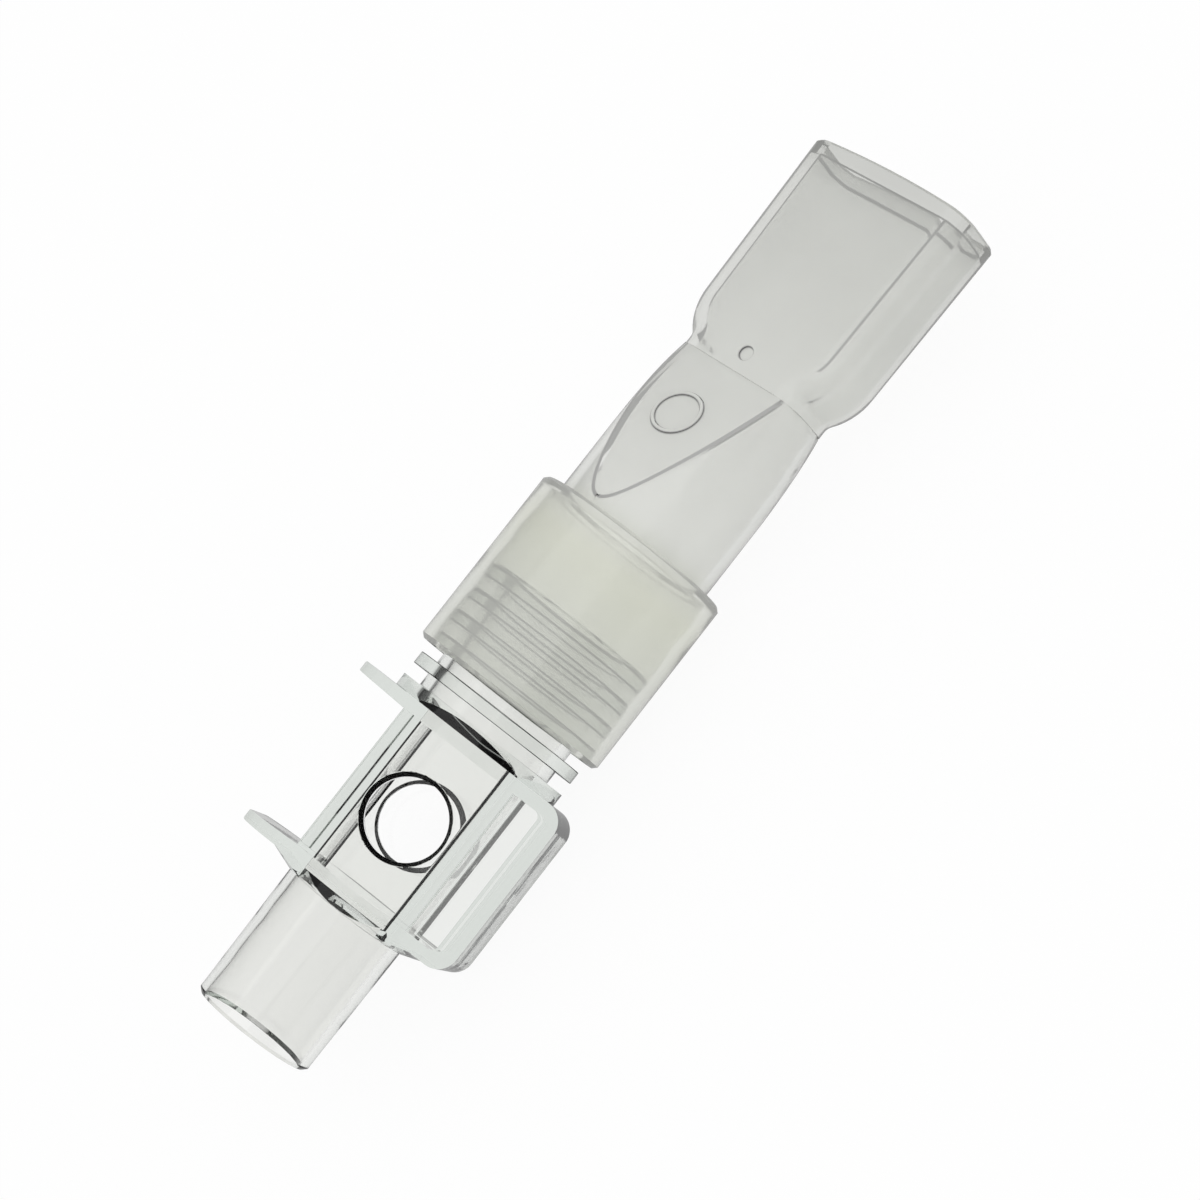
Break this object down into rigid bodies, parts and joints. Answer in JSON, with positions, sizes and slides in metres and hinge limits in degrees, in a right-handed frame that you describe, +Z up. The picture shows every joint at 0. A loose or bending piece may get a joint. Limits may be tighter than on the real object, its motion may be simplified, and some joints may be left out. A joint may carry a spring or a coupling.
{
  "type": "airway adapter with mouthpiece",
  "caption": "Clear straight airway adapter with a flat windowed gas channel between finned plates, a ribbed port, and a hollow push-on mouthpiece with an oval mouth.",
  "frame": {"origin": "centre of the 15 mm tube's open end, on the long axis", "axes": "+X along the long axis to the mouthpiece's tip, +Z up and normal to the mouthpiece's flats, +Y across, the side to which the fins lean. The assembly lies on the mouthpiece's collar and on one lower edge of the adapter's skirt."},
  "size_m": [0.1204, 0.0305, 0.025],
  "materials": {
    "clear_plastic": "clear, moulded",
    "window_film": "clear, flat",
    "soft_translucent": "translucent, slightly frosted"
  },
  "bodies": {
    "adapter": {"adapter_body": "clear_plastic", "window_front": "window_film", "window_back": "window_film"},
    "mouthpiece": {"mouthpiece": "soft_translucent"}
  },
  "joints": [
    {"name": "mouthpiece_pull_off", "type": "slide", "parent": "adapter", "child": "mouthpiece", "axis": [1, 0, 0], "range_m": [0, 0.015]}
  ]
}
